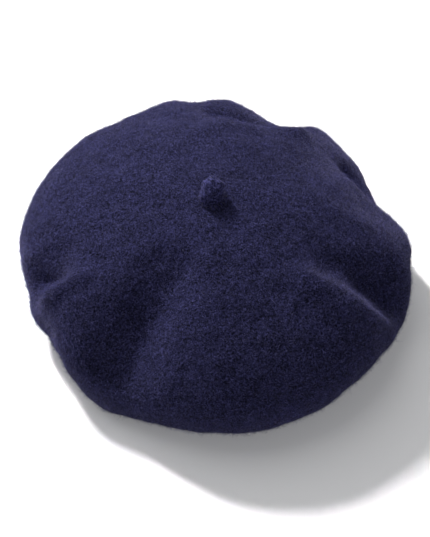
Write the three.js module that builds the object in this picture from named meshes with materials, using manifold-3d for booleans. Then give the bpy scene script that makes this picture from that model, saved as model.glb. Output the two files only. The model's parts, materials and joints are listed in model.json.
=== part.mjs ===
// Wool felt beret, resting on its head opening. Millimetres, +Z up.
// The origin is the centre of the head opening, on the surface that the beret rests on.
// +X is the wearer's right, +Y is the centre back, where the drawstring's ends are knotted.
import * as THREE from 'three';
import { mergeVertices } from 'three/addons/utils/BufferGeometryUtils.js';
import Module from 'manifold-3d';

// ---- Driving dimensions ----------------------------------------------------------------------
const FELT = 2.5;                      // thickness of the fulled wool
const CROWN_HEIGHT = 93.5;             // top of the crown above the table
const RIM_RADIUS = 139;                // mean radius of the rim
const RIM_HEIGHT = 33;                 // mean height of the rim
const CROWN_POWER = 1.6;               // 2 is an ellipsoid, less is more tent-like
const CROWN_CENTRE = { x: -2, y: 9 };  // the crown slumps a little to the back
const RIM_CENTRE = { x: 5.5, y: 17.5 };
const OPENING_RADIUS = 86;             // inside of the turned-in hem: a 54 cm opening
const HEM_WIDTH = 5;                   // flat fold that the beret rests on
const HEM_HEIGHT = 20;
const LOWEST_RIM = 6;

// Folds and swells of the soft crown. bearing: degrees from +X towards +Y at the rim; depth:
// millimetres outwards; width: degrees to either side; start: where it begins, as a share of the
// way from the crown's centre to the rim; twist: degrees it turns by the rim; lift: up or down.
const FOLDS = [
  { name: 'back_right_furrow', bearing: 66, depth: -17.5, width: 18, start: 0.4, twist: -11, lift: -4.5 },
  { name: 'back_notch', bearing: 98, depth: -5.5, width: 7.5, start: 0.42, twist: 15, lift: 0 },
  { name: 'back_right_ridge', bearing: 56, depth: 5, width: 7.5, start: 0.58, twist: 6, lift: 3 },
  { name: 'right_furrow', bearing: 17.5, depth: -16.5, width: 16, start: 0.57, twist: 9, lift: -4.5 },
  { name: 'right_slope', bearing: 36, depth: -9, width: 17, start: 0.24, twist: 4, lift: -3 },
  { name: 'front_right_hollow', bearing: 334, depth: -1, width: 8, start: 0.4, twist: 5, lift: -13.5 },
  { name: 'right_ridge', bearing: 352, depth: -6, width: 11, start: 0.27, twist: -20, lift: 9.5 },
  { name: 'front_left_valley', bearing: 236, depth: -8, width: 13, start: 0.14, twist: -16, lift: -11 },
  { name: 'front_left_bank', bearing: 234, depth: 12.5, width: 14, start: 0.41, twist: 4, lift: -7.5 },
  { name: 'left_dent', bearing: 203, depth: -8, width: 8, start: 0.6, twist: 23, lift: -7 },
  { name: 'left_swell', bearing: 178, depth: 4, width: 19, start: 0.48, twist: -7, lift: -1.5 },
  { name: 'front_droop', bearing: 253, depth: 3, width: 29, start: 0.47, twist: 2, lift: -9 },
  { name: 'front_swell', bearing: 284, depth: 6, width: 26, start: 0.31, twist: 0, lift: -5.5 },
  { name: 'left_ridge', bearing: 203, depth: 10, width: 7, start: 0.63, twist: -24, lift: -4 },
  { name: 'back_left_dip', bearing: 122, depth: -7, width: 12.5, start: 0.35, twist: 14, lift: 2.5 },
];

// Creases sharper than the folds, each along a line in plan. height: how far it pushes the crown
// outwards; left and right: how far it spreads to either side of the way that it runs.
const CREASES = [
  { name: 'back_hollow', from: [0, 115], to: [60, 109], height: -7.5, left: 9, right: 8 },
  { name: 'back_ridge', from: [-4, 88], to: [60, 95], height: 4.2, left: 7, right: 13 },
  { name: 'right_hollow', from: [97, 74], to: [125, 56], height: -6.5, left: 8, right: 8 },
  { name: 'right_crest', from: [96, 47], to: [133, 23], height: 4.6, left: 7, right: 12 },
  { name: 'front_right_dip', from: [100, -37], to: [129, -45], height: -4.5, left: 13, right: 10 },
  { name: 'front_right_crest', from: [60, -46], to: [121, -61], height: 3.6, left: 7, right: 16 },
  { name: 'front_left_dip', from: [-34, -34], to: [-74, -90], height: -4.2, left: 32, right: 14 },
  { name: 'left_dip', from: [-137, -16], to: [-106, -32], height: -5.5, left: 7, right: 5 },
  { name: 'left_crest', from: [-90, -40], to: [-127, -45], height: 3, left: 6, right: 7 },
];
const CREASE_END = 9;                  // how softly a crease fades beyond its ends
const CREASE_FADE = 0.12;              // share of the reach in which creases fade at the rim

const ROUND_STEPS = 104;                // steps round the felt
const CROWN_STEPS = 20;                // rings from the crown's centre to the rim
const UNDER_STEPS = 6;                 // rings from the rim to the opening
const LINING_SHARE = 2;                // the inner face has one ring for every two outside

const GAP = 0.3;                       // clearance between neighbouring pieces
const RIBBON = 0.7;                    // thickness of the sweatband
const BAND_BOTTOM = 1;
const BAND_TOP = 19.5;
const CHANNEL_BOTTOM = 5.5;
const CHANNEL_TOP = 15;
const CHANNEL_DEPTH = 2.8;             // room between the ribbon and the hem for the drawstring
const BAND_OPENING = 16;               // distance between the ribbon's ends at the back
const BAND_STEPS = 64;
const THREAD = 0.5;                    // diameter of the sewing thread
const THREAD_SIDES = 4;
const CORD = 1.8;                      // diameter of the drawstring
const CORD_SIDES = 8;
const KNOT = { x: 9, y: 3.8, z: 6 };

const STEM_HEIGHT = 15;
const STEM_RADIUS = 7.6;
const STEM_FOOT_RADIUS = 9.2;            // the ring of thread that ties it down
const STEM_FOOT_STEPS = 6;
const STEM_LEAN = { x: 1, y: 3.5 };    // how far its tip leans
const STEM_HOLE = 2.2;                 // hole in the crown that the stem's foot passes
const ROOT_RADIUS = 9;
const ROOT_THICKNESS = 2;
const ROOT_CLEARANCE = 1.2;            // the crown curves down over the foot's edge

const LABEL_WIDTH = 24;
const LABEL_LENGTH = 15;
const LABEL = 0.4;                     // thickness of the label
const LABEL_BEARING = 130;             // the label hangs at the left of the centre back

const FULL_TURN = 2 * Math.PI;
const rad = THREE.MathUtils.degToRad;

const wasm = await Module();
wasm.setup();

// ---- Materials -------------------------------------------------------------------------------
const felt = (colour) => new THREE.MeshStandardMaterial({ color: colour, roughness: 0.95, metalness: 0 });
const NAVY_FELT = felt(0x2a2850);
const NAVY_STEM = felt(0x2c2a54);
const BLACK_RIBBON = felt(0x15151c);
const NAVY_THREAD = felt(0x1d1c3a);
const BLACK_CORD = felt(0x101014);
const WHITE_LABEL = felt(0xe4e2dc);

// ---- Booleans --------------------------------------------------------------------------------
function toSolid(geometry) {
  const bare = geometry.clone();
  bare.deleteAttribute('normal');
  bare.deleteAttribute('uv');
  const merged = mergeVertices(bare, 1e-4);
  return new wasm.Manifold(new wasm.Mesh({
    numProp: 3,
    vertProperties: new Float32Array(merged.attributes.position.array),
    triVerts: new Uint32Array(merged.index.array),
  }));
}

function toGeometry(solid) {
  const mesh = solid.getMesh();
  const geometry = new THREE.BufferGeometry();
  geometry.setAttribute('position', new THREE.BufferAttribute(mesh.vertProperties, 3));
  geometry.setIndex(new THREE.BufferAttribute(mesh.triVerts, 1));
  geometry.computeVertexNormals();
  return geometry;
}

const subtract = (geometry, tool) => toGeometry(toSolid(geometry).subtract(toSolid(tool)));

// ---- Helpers ---------------------------------------------------------------------------------
// A ring with the given section, in (radius, height) points, round the Z axis.
function ring(section, steps = BAND_STEPS) {
  const closed = [...section, section[0]].map(([r, z]) => new THREE.Vector2(r, z));
  return new THREE.LatheGeometry(closed, steps).rotateX(Math.PI / 2);
}

// A round section for a ring, as (radius, height) points.
function roundSection(radius, height, diameter, sides) {
  return Array.from({ length: sides }, (_, i) => {
    const angle = (FULL_TURN * i) / sides;
    return [radius + (diameter / 2) * Math.cos(angle), height + (diameter / 2) * Math.sin(angle)];
  });
}

// A box standing across the ring at the given bearing, from radius low to radius high.
function wedge(bearing, width, low, high, bottom, top) {
  const box = new THREE.BoxGeometry(high - low, width, top - bottom);
  box.translate((low + high) / 2, 0, (bottom + top) / 2);
  return box.rotateZ(rad(bearing));
}

const smooth = (t) => THREE.MathUtils.smoothstep(t, 0, 1);

// ---- The felt: one knitted and fulled piece ----------------------------------------------------
// The crown's section at angle a: 90 degrees at the crown's centre, 0 at the rim.
function crownSection(a) {
  const reach = Math.cos(a);
  const rise = Math.sqrt(Math.max(0, 1 - reach ** CROWN_POWER));
  return { reach, r: RIM_RADIUS * reach, z: RIM_HEIGHT + (CROWN_HEIGHT - RIM_HEIGHT) * rise };
}

// The outward direction of that section, in (radius, height).
function crownNormal(a) {
  const step = 1e-3;
  const inner = crownSection(Math.min(a + step, Math.PI / 2));
  const outer = crownSection(Math.max(a - step, 0));
  const normal = new THREE.Vector2(inner.z - outer.z, outer.r - inner.r);
  return a <= 0 ? new THREE.Vector2(1, 0) : normal.normalize();
}

// How far the folds push the crown out and up, at a bearing in degrees and a reach.
function foldAt(bearing, reach) {
  let out = 0;
  let up = 0;
  for (const fold of FOLDS) {
    const centre = fold.bearing + fold.twist * (reach - 1);
    const away = THREE.MathUtils.euclideanModulo(bearing - centre + 180, 360) - 180;
    const strength = smooth((reach - fold.start) / (1 - fold.start)) * Math.exp(-((away / fold.width) ** 2));
    out += fold.depth * strength;
    up += fold.lift * strength;
  }
  return { out, up };
}

// How far the creases push the crown outwards at a point in plan.
function creaseAt(x, y) {
  let push = 0;
  for (const crease of CREASES) {
    const dx = crease.to[0] - crease.from[0];
    const dy = crease.to[1] - crease.from[1];
    const length = Math.hypot(dx, dy);
    const along = ((x - crease.from[0]) * dx + (y - crease.from[1]) * dy) / length;
    const across = ((y - crease.from[1]) * dx - (x - crease.from[0]) * dy) / length;
    const beyond = Math.max(-along, along - length, 0) / CREASE_END;
    const aside = across / (across > 0 ? crease.left : crease.right);
    push += crease.height * Math.exp(-(beyond ** 2) - aside ** 2);
  }
  return push;
}

function crownPoint(bearing, a) {
  const section = crownSection(a);
  const normal = crownNormal(a);
  const fold = foldAt(bearing, section.reach);
  const centre = Math.sin(a);
  const c = Math.cos(rad(bearing));
  const s = Math.sin(rad(bearing));
  const shiftX = THREE.MathUtils.lerp(RIM_CENTRE.x, CROWN_CENTRE.x, centre);
  const shiftY = THREE.MathUtils.lerp(RIM_CENTRE.y, CROWN_CENTRE.y, centre);
  const r = section.r + fold.out * normal.x;
  const fade = smooth((1 - section.reach) / CREASE_FADE);
  const push = creaseAt(r * c + shiftX, r * s + shiftY) * fade;
  const creasedR = r + push * normal.x;
  const z = section.z + (fold.out + push) * normal.y + fold.up;
  return new THREE.Vector3(creasedR * c + shiftX, creasedR * s + shiftY, z);
}

// The underside, from the rim (b = 0) to the fold of the hem (b = 90 degrees).
function underPoint(bearing, b) {
  const fold = foldAt(bearing, 1);
  const start = OPENING_RADIUS + HEM_WIDTH;
  const r = start + (RIM_RADIUS + fold.out - start) * Math.cos(b);
  const rim = Math.max(RIM_HEIGHT + fold.up, LOWEST_RIM);
  return new THREE.Vector3(
    r * Math.cos(rad(bearing)) + RIM_CENTRE.x * Math.cos(b),
    r * Math.sin(rad(bearing)) + RIM_CENTRE.y * Math.cos(b),
    rim * (1 - Math.sin(b)),
  );
}

// A point of the outer face: t runs from 0 at the crown's centre, to 1 at the rim, to 2 at the hem.
function outerPoint(bearing, t) {
  if (t <= 1) return crownPoint(bearing, (Math.PI / 2) * (1 - t));
  return underPoint(bearing, (Math.PI / 2) * (t - 1));
}

// The same point on the inner face, one felt thickness in.
function innerPoint(bearing, t) {
  const step = 0.01;
  const turn = 1;
  const point = outerPoint(bearing, t);
  if (t <= 0) return point.setZ(point.z - FELT);
  if (t >= 2) return point.setZ(point.z + FELT);
  const along = outerPoint(bearing, Math.min(t + step, 2)).sub(outerPoint(bearing, Math.max(t - step, 0)));
  const round = outerPoint(bearing + turn, t).sub(outerPoint(bearing - turn, t));
  return point.addScaledVector(along.cross(round).normalize(), -FELT);
}

// The turned-in hem, from the fold that rests on the table, up inside the opening and down again.
const HEM_SECTION = [
  [OPENING_RADIUS, 0],
  [OPENING_RADIUS, HEM_HEIGHT - 1],
  [OPENING_RADIUS + 1, HEM_HEIGHT],
  [OPENING_RADIUS + FELT - 1, HEM_HEIGHT],
  [OPENING_RADIUS + FELT, HEM_HEIGHT - 1],
  [OPENING_RADIUS + FELT, FELT + 1],
];

function feltGeometry() {
  const outer = [];
  for (let i = 0; i <= CROWN_STEPS; i += 1) outer.push(i / CROWN_STEPS);
  for (let i = 1; i <= UNDER_STEPS; i += 1) outer.push(1 + i / UNDER_STEPS);
  const inner = outer.filter((_, i) => i % LINING_SHARE === 0).reverse();

  const faces = [
    ...outer.map((t) => (bearing) => outerPoint(bearing, t)),
    ...HEM_SECTION.map(([r, z]) => (bearing) => {
      return new THREE.Vector3(r * Math.cos(rad(bearing)), r * Math.sin(rad(bearing)), z);
    }),
    ...inner.map((t) => (bearing) => innerPoint(bearing, t)),
  ];

  // A lathe ring for each point of the section, which the folds then move.
  const section = faces.map((_, i) => new THREE.Vector2(Math.sin((Math.PI * i) / (faces.length - 1)), -i));
  section[0].x = 0;
  section[section.length - 1].x = 0;
  const geometry = new THREE.LatheGeometry(section, ROUND_STEPS);
  const position = geometry.attributes.position;
  for (let i = 0; i < position.count; i += 1) {
    const bearing = -360 * Math.floor(i / faces.length) / ROUND_STEPS;
    const point = faces[i % faces.length](bearing);
    position.setXYZ(i, point.x, point.y, point.z);
  }
  return geometry;
}

function feltBody() {
  const hole = new THREE.CylinderGeometry(STEM_HOLE, STEM_HOLE, 20, 24).rotateX(Math.PI / 2);
  hole.translate(CROWN_CENTRE.x, CROWN_CENTRE.y, CROWN_HEIGHT);
  return subtract(feltGeometry(), hole);
}

// ---- The stem at the crown's centre -------------------------------------------------------------
const STEM_PIVOT = CROWN_HEIGHT + GAP + STEM_RADIUS;

// A soft rolled nub, leaning a little. Its foot is round about the point that it bends at.
function stemNub() {
  const profile = [];
  for (let i = 0; i <= STEM_FOOT_STEPS; i += 1) {
    const angle = (Math.PI / 2) * (i / STEM_FOOT_STEPS - 1);
    profile.push([STEM_RADIUS * Math.cos(angle), STEM_RADIUS * Math.sin(angle)]);
  }
  profile[0][0] = 0;
  const tip = STEM_HEIGHT - STEM_RADIUS;
  profile.push([0.86 * STEM_RADIUS, 0.52 * tip], [0.62 * STEM_RADIUS, 0.79 * tip]);
  profile.push([0.32 * STEM_RADIUS, 0.95 * tip], [0, tip]);
  const points = profile.map(([r, z]) => new THREE.Vector2(r, z));
  const geometry = new THREE.LatheGeometry(points, 24).rotateX(Math.PI / 2);
  const position = geometry.attributes.position;
  for (let i = 0; i < position.count; i += 1) {
    const lean = Math.max(0, position.getZ(i) / tip) ** 2;
    position.setX(i, position.getX(i) + STEM_LEAN.x * lean);
    position.setY(i, position.getY(i) + STEM_LEAN.y * lean);
  }
  return geometry;
}

// The stem's foot, inside the crown: a neck through the hole and a flattened end.
function stemRoot() {
  const underside = CROWN_HEIGHT - FELT - ROOT_CLEARANCE;
  const neck = STEM_HOLE - GAP;
  const profile = [
    [0, underside - ROOT_THICKNESS],
    [ROOT_RADIUS - 1, underside - ROOT_THICKNESS],
    [ROOT_RADIUS, underside - ROOT_THICKNESS / 2],
    [ROOT_RADIUS - 1, underside],
    [neck, underside],
    [neck, CROWN_HEIGHT - GAP],
    [0, CROWN_HEIGHT - GAP],
  ];
  const points = profile.map(([r, z]) => new THREE.Vector2(r, z));
  return new THREE.LatheGeometry(points, 24).rotateX(Math.PI / 2);
}

function stemThread() {
  return ring(roundSection(STEM_FOOT_RADIUS, CROWN_HEIGHT + GAP + THREAD / 2, THREAD, THREAD_SIDES), 24);
}

// ---- The band inside the opening ----------------------------------------------------------------
const BAND_OUTSIDE = OPENING_RADIUS - GAP;
const CHANNEL_OUTSIDE = OPENING_RADIUS - CHANNEL_DEPTH;
const backOpening = (width) => wedge(90, width, 70, 95, -5, 30);

// A ribbon sewn flat along both edges and standing off the hem between them.
function sweatband() {
  const face = [
    [BAND_OUTSIDE, BAND_BOTTOM],
    [BAND_OUTSIDE, CHANNEL_BOTTOM - 2],
    [CHANNEL_OUTSIDE, CHANNEL_BOTTOM],
    [CHANNEL_OUTSIDE, CHANNEL_TOP],
    [BAND_OUTSIDE, CHANNEL_TOP + 2],
    [BAND_OUTSIDE, BAND_TOP],
  ];
  const back = face.map(([r, z]) => [r - RIBBON, z]).reverse();
  return subtract(ring([...face, ...back]), backOpening(BAND_OPENING));
}

function bandSeam(height) {
  const radius = BAND_OUTSIDE - RIBBON - GAP - THREAD / 2;
  return subtract(ring(roundSection(radius, height, THREAD, THREAD_SIDES)), backOpening(BAND_OPENING + 4));
}

// A tight bar of stitches on the ribbon's end, above or below the drawstring's way out.
function bartack(side, upper) {
  const height = 2.4;
  const box = new THREE.BoxGeometry(1.2, THREAD, height);
  const radius = BAND_OUTSIDE - RIBBON - GAP - THREAD / 2 - 0.25;
  const x = side * (BAND_OPENING / 2 + 1);
  return box.translate(x, Math.sqrt(radius ** 2 - x ** 2), upper ? 18 : 2.4);
}

const CORD_HEIGHT = (CHANNEL_BOTTOM + CHANNEL_TOP) / 2;
const CORD_RADIUS = OPENING_RADIUS - CHANNEL_DEPTH / 2;

function drawstring() {
  const cord = ring(roundSection(CORD_RADIUS, CORD_HEIGHT, CORD, CORD_SIDES));
  return subtract(cord, backOpening(KNOT.x + 2 * GAP));
}

// The two ends tied together in a flat knot, which sits in the opening between the ribbon's ends.
function drawstringKnot() {
  const knot = new THREE.SphereGeometry(0.5, 20, 12);
  knot.scale(KNOT.x, KNOT.y, KNOT.z);
  return knot.translate(0, CORD_RADIUS - 0.75, CORD_HEIGHT);
}

// ---- The label, sewn by its top edge under the upper seam ----------------------------------------
// Distances from the opening's centre to the label's outer face, where it is flat across the curve
// of the band: at its sewn edge, and over the channel.
const flatInside = (radius) => Math.sqrt(radius ** 2 - (LABEL_WIDTH / 2) ** 2) - GAP;
const LABEL_TOP = BAND_TOP - 0.1;
const LABEL_SEWN = flatInside(BAND_OUTSIDE - RIBBON) - THREAD;
const LABEL_HANGING = flatInside(CHANNEL_OUTSIDE - RIBBON);

function careLabel() {
  const face = [
    [LABEL_HANGING, LABEL_TOP - LABEL_LENGTH],
    [LABEL_HANGING, CHANNEL_TOP + 0.3],
    [LABEL_SEWN, CHANNEL_TOP + 2.3],
    [LABEL_SEWN, LABEL_TOP],
  ];
  const back = face.map(([r, z]) => [r - LABEL, z]).reverse();
  const shape = new THREE.Shape([...face, ...back].map(([r, z]) => new THREE.Vector2(r, z)));
  const label = new THREE.ExtrudeGeometry(shape, { depth: LABEL_WIDTH, bevelEnabled: false });
  return label.translate(0, 0, -LABEL_WIDTH / 2).rotateX(Math.PI / 2).rotateZ(rad(LABEL_BEARING));
}

function labelStitches() {
  const row = new THREE.BoxGeometry(THREAD, LABEL_WIDTH - 4, THREAD);
  row.translate(LABEL_SEWN + THREAD / 4, 0, LABEL_TOP + GAP + THREAD / 2);
  return row.rotateZ(rad(LABEL_BEARING));
}

// ---- Assembly -----------------------------------------------------------------------------------
const beret = new THREE.Group();

function add(name, geometry, material, place = [0, 0, 0]) {
  const mesh = new THREE.Mesh(geometry, material);
  mesh.name = name;
  mesh.position.set(...place);
  beret.add(mesh);
}

const STEM_PLACE = [CROWN_CENTRE.x, CROWN_CENTRE.y, STEM_PIVOT];
const CROWN_AXIS = [CROWN_CENTRE.x, CROWN_CENTRE.y, 0];

add('felt_body', feltBody(), NAVY_FELT);
add('stem_nub', stemNub(), NAVY_STEM, STEM_PLACE);
add('stem_root', stemRoot(), NAVY_STEM, CROWN_AXIS);
add('stem_thread', stemThread(), NAVY_THREAD, CROWN_AXIS);
add('sweatband', sweatband(), BLACK_RIBBON);
add('band_lower_seam', bandSeam(2.6), NAVY_THREAD);
add('band_upper_seam', bandSeam(18.2), NAVY_THREAD);
for (const [sideName, side] of [['left', -1], ['right', 1]]) {
  add(`bartack_${sideName}_lower`, bartack(side, false), NAVY_THREAD);
  add(`bartack_${sideName}_upper`, bartack(side, true), NAVY_THREAD);
}
add('drawstring', drawstring(), BLACK_CORD);
add('drawstring_knot', drawstringKnot(), BLACK_CORD);
add('care_label', careLabel(), WHITE_LABEL);
add('label_stitches', labelStitches(), NAVY_THREAD);

export default beret;
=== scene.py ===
"""A navy wool felt beret, resting on its head opening on a pale table."""
import json
import math
from collections import namedtuple

import bpy
import numpy as np
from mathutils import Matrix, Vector


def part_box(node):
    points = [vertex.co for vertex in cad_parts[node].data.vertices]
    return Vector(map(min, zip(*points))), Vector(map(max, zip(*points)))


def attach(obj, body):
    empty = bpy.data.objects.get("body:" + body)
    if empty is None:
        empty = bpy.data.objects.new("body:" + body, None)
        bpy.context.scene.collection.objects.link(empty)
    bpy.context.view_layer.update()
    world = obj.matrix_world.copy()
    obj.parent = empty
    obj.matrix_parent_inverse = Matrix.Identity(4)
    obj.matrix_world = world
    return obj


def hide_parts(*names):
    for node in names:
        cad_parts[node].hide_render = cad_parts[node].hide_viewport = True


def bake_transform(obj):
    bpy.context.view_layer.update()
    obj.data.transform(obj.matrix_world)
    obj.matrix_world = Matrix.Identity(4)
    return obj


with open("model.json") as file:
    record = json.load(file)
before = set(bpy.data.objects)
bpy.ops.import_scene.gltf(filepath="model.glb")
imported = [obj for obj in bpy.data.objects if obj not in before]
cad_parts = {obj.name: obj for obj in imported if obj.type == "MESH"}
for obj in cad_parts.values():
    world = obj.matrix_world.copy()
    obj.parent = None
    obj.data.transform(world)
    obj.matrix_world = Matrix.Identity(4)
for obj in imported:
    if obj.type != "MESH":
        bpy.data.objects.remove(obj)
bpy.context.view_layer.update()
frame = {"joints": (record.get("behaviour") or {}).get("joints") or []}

bl_info = {
    "name": "Wool Felt Beret",
    "version": (1, 0, 0),
    "blender": (4, 5, 0),
    "location": "View3D > Sidebar > Beret",
    "description": "Builds a wool felt beret with its stem, sweatband, drawstring and label",
    "category": "Add Mesh",
}

MM = 0.001
TAU = 2 * math.pi

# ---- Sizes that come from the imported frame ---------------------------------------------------
BAND_LOW, BAND_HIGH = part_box("sweatband")
CORD_LOW, CORD_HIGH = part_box("drawstring")
KNOT_LOW, KNOT_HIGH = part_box("drawstring_knot")
STEM_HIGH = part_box("stem_nub")[1]
ROOT_LOW, ROOT_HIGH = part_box("stem_root")
RING_LOW, RING_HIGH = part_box("stem_thread")
LOWER_SEAM_LOW, LOWER_SEAM_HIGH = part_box("band_lower_seam")
UPPER_SEAM_LOW, UPPER_SEAM_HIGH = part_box("band_upper_seam")
JOINTS = {joint["name"]: joint for joint in frame["joints"]}

# ---- Shape of the felt -------------------------------------------------------------------------
CROWN_HEIGHT = 93.5 * MM
RIM_RADIUS = 139 * MM
RIM_HEIGHT = 33 * MM
LOWEST_RIM = 6 * MM
CROWN_POWER = 1.6
CROWN_CENTRE = np.array((-2 * MM, 9 * MM))
RIM_CENTRE = np.array((5.5 * MM, 17.5 * MM))
OPENING_RADIUS = 86 * MM
HEM_WIDTH = 5 * MM
FELT = 2.5 * MM

# bearing: degrees from +X towards +Y at the rim; depth: millimetres outwards; width: degrees to
# either side; start: where it begins, as a share of the way from the centre to the rim; twist:
# degrees that it turns by the rim; lift: millimetres up.
Fold = namedtuple("Fold", "name bearing depth width start twist lift")
FOLDS = (
    Fold("back_right_furrow", 66, -17.5, 18, 0.40, -11, -4.5),
    Fold("back_notch", 98, -5.5, 7.5, 0.42, 15, 0),
    Fold("back_right_ridge", 56, 5, 7.5, 0.58, 6, 3),
    Fold("right_furrow", 17.5, -16.5, 16, 0.57, 9, -4.5),
    Fold("right_slope", 36, -9, 17, 0.24, 4, -3),
    Fold("front_right_hollow", 334, -1, 8, 0.40, 5, -13.5),
    Fold("right_ridge", 352, -6, 11, 0.27, -20, 9.5),
    Fold("front_left_valley", 236, -8, 13, 0.14, -16, -11),
    Fold("front_left_bank", 234, 12.5, 14, 0.41, 4, -7.5),
    Fold("left_dent", 203, -8, 8, 0.60, 23, -7),
    Fold("left_swell", 178, 4, 19, 0.48, -7, -1.5),
    Fold("front_droop", 253, 3, 29, 0.47, 2, -9),
    Fold("front_swell", 284, 6, 26, 0.31, 0, -5.5),
    Fold("left_ridge", 203, 10, 7, 0.63, -24, -4),
    Fold("back_left_dip", 122, -7, 12.5, 0.35, 14, 2.5),
)

# start and end: where the crease runs in plan; height: millimetres outwards; left and right: how
# far it spreads, in millimetres, to either side of the way that it runs.
Crease = namedtuple("Crease", "name start end height left right")
CREASES = (
    Crease("back_hollow", (0, 115), (60, 109), -7.5, 9, 8),
    Crease("back_ridge", (-4, 88), (60, 95), 4.2, 7, 13),
    Crease("right_hollow", (97, 74), (125, 56), -6.5, 8, 8),
    Crease("right_crest", (96, 47), (133, 23), 4.6, 7, 12),
    Crease("front_right_dip", (100, -37), (129, -45), -4.5, 13, 10),
    Crease("front_right_crest", (60, -46), (121, -61), 3.6, 7, 16),
    Crease("front_left_dip", (-34, -34), (-74, -90), -4.2, 32, 14),
    Crease("left_dip", (-137, -16), (-106, -32), -5.5, 7, 5),
    Crease("left_crest", (-90, -40), (-127, -45), 3, 6, 7),
)
CREASE_END = 9 * MM  # how softly a crease fades beyond its ends
CREASE_FADE = 0.12  # share of the reach in which creases fade at the rim


def smooth(t):
    t = np.clip(t, 0, 1)
    return t * t * (3 - 2 * t)


def crown_section(a):
    """Reach, radius and height of the crown's plain section at angle a: 90 degrees at its centre."""
    reach = np.cos(a)
    rise = np.sqrt(np.clip(1 - np.abs(reach) ** CROWN_POWER, 0, 1))
    return reach, RIM_RADIUS * reach, RIM_HEIGHT + (CROWN_HEIGHT - RIM_HEIGHT) * rise


def crown_normal(a):
    """The section's outward direction, as (radius, height)."""
    step = 1e-3
    _, inner_r, inner_z = crown_section(np.minimum(a + step, math.pi / 2))
    _, outer_r, outer_z = crown_section(np.maximum(a - step, 0))
    out, up = inner_z - outer_z, outer_r - inner_r
    size = np.hypot(out, up)
    at_rim = a <= 0
    return np.where(at_rim, 1, out / size), np.where(at_rim, 0, up / size)


def folds_at(bearing, reach):
    """How far the folds push the felt out and up, in metres."""
    out, up = np.zeros_like(reach), np.zeros_like(reach)
    for fold in FOLDS:
        centre = fold.bearing + fold.twist * (reach - 1)
        away = (bearing - centre + 180) % 360 - 180
        strength = smooth((reach - fold.start) / (1 - fold.start)) * np.exp(-((away / fold.width) ** 2))
        out = out + fold.depth * MM * strength
        up = up + fold.lift * MM * strength
    return out, up


def creases_at(x, y):
    """How far the creases push the crown outwards, in metres, at points in plan."""
    push = np.zeros_like(x)
    for crease in CREASES:
        start, end = np.array(crease.start) * MM, np.array(crease.end) * MM
        length = math.dist(start, end)
        run = (end - start) / length
        along = (x - start[0]) * run[0] + (y - start[1]) * run[1]
        across = (y - start[1]) * run[0] - (x - start[0]) * run[1]
        beyond = np.maximum(np.maximum(-along, along - length), 0)
        spread = np.where(across > 0, crease.left, crease.right) * MM
        push = push + crease.height * MM * np.exp(-((beyond / CREASE_END) ** 2) - (across / spread) ** 2)
    return push


def felt_face(bearing, along):
    """Points of the felt's outer face. bearing is in degrees; along runs from 0 at the crown's
    centre to 1 at the rim and 2 at the fold of the hem."""
    bearing, along = np.broadcast_arrays(np.asarray(bearing, float), np.asarray(along, float))
    c, s = np.cos(np.radians(bearing)), np.sin(np.radians(bearing))

    a = np.clip(math.pi / 2 * (1 - along), 0, math.pi / 2)
    reach, r, z = crown_section(a)
    normal_r, normal_z = crown_normal(a)
    out, up = folds_at(bearing, reach)
    centre = np.sin(a)
    r = r + out * normal_r
    shift = RIM_CENTRE + (CROWN_CENTRE - RIM_CENTRE) * centre[..., None]
    push = creases_at(r * c + shift[..., 0], r * s + shift[..., 1]) * smooth((1 - reach) / CREASE_FADE)
    r = r + push * normal_r
    crown = np.stack([r * c + shift[..., 0], r * s + shift[..., 1], z + (out + push) * normal_z + up], -1)

    b = np.clip(math.pi / 2 * (along - 1), 0, math.pi / 2)
    rim_out, rim_up = folds_at(bearing, np.ones_like(b))
    hem = OPENING_RADIUS + HEM_WIDTH
    r = hem + (RIM_RADIUS + rim_out - hem) * np.cos(b)
    rim = np.maximum(RIM_HEIGHT + rim_up, LOWEST_RIM)
    shift = RIM_CENTRE * np.cos(b)[..., None]
    under = np.stack([r * c + shift[..., 0], r * s + shift[..., 1], rim * (1 - np.sin(b))], -1)
    return np.where((along <= 1)[..., None], crown, under)


def grid_normals(points):
    """Outward directions of a grid of points that closes on itself along its first axis."""
    around = np.roll(points, -1, 0) - np.roll(points, 1, 0)
    along = np.gradient(points, axis=1)
    normal = np.cross(along, around)
    size = np.linalg.norm(normal, axis=-1, keepdims=True)
    normal = normal / np.maximum(size, 1e-12)
    normal[:, 0] = (0, 0, 1)
    return normal


def waves(points, rng, count, shortest, longest):
    """A smooth random field of unit strength: plane waves of random direction and length."""
    field = np.zeros(points.shape[:-1])
    for _ in range(count):
        direction = rng.normal(size=3)
        direction /= np.linalg.norm(direction)
        length = rng.uniform(shortest, longest)
        field += np.sin(points @ direction * TAU / length + rng.uniform(0, TAU))
    return field * math.sqrt(2 / count)


# ---- Mesh helpers --------------------------------------------------------------------------------
def new_piece(name, points, faces, material):
    """An object from an (n, 3) array of points and a list of face arrays, each (m, corners)."""
    mesh = bpy.data.meshes.new(name)
    points = np.ascontiguousarray(points, np.float32).reshape(-1, 3)
    faces = [np.asarray(f, np.int32) for f in faces if len(f)]
    corners = np.concatenate([f.ravel() for f in faces])
    totals = np.concatenate([np.full(len(f), f.shape[1], np.int32) for f in faces])
    starts = np.concatenate([[0], np.cumsum(totals)[:-1]]).astype(np.int32)
    mesh.vertices.add(len(points))
    mesh.vertices.foreach_set("co", points.ravel())
    mesh.loops.add(len(corners))
    mesh.loops.foreach_set("vertex_index", corners)
    mesh.polygons.add(len(totals))
    mesh.polygons.foreach_set("loop_start", starts)
    mesh.polygons.foreach_set("loop_total", totals)
    mesh.polygons.foreach_set("use_smooth", np.full(len(totals), True))
    mesh.update(calc_edges=True)
    mesh.validate()
    mesh.materials.append(material)
    piece = bpy.data.objects.new(name, mesh)
    bpy.context.scene.collection.objects.link(piece)
    return piece


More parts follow.
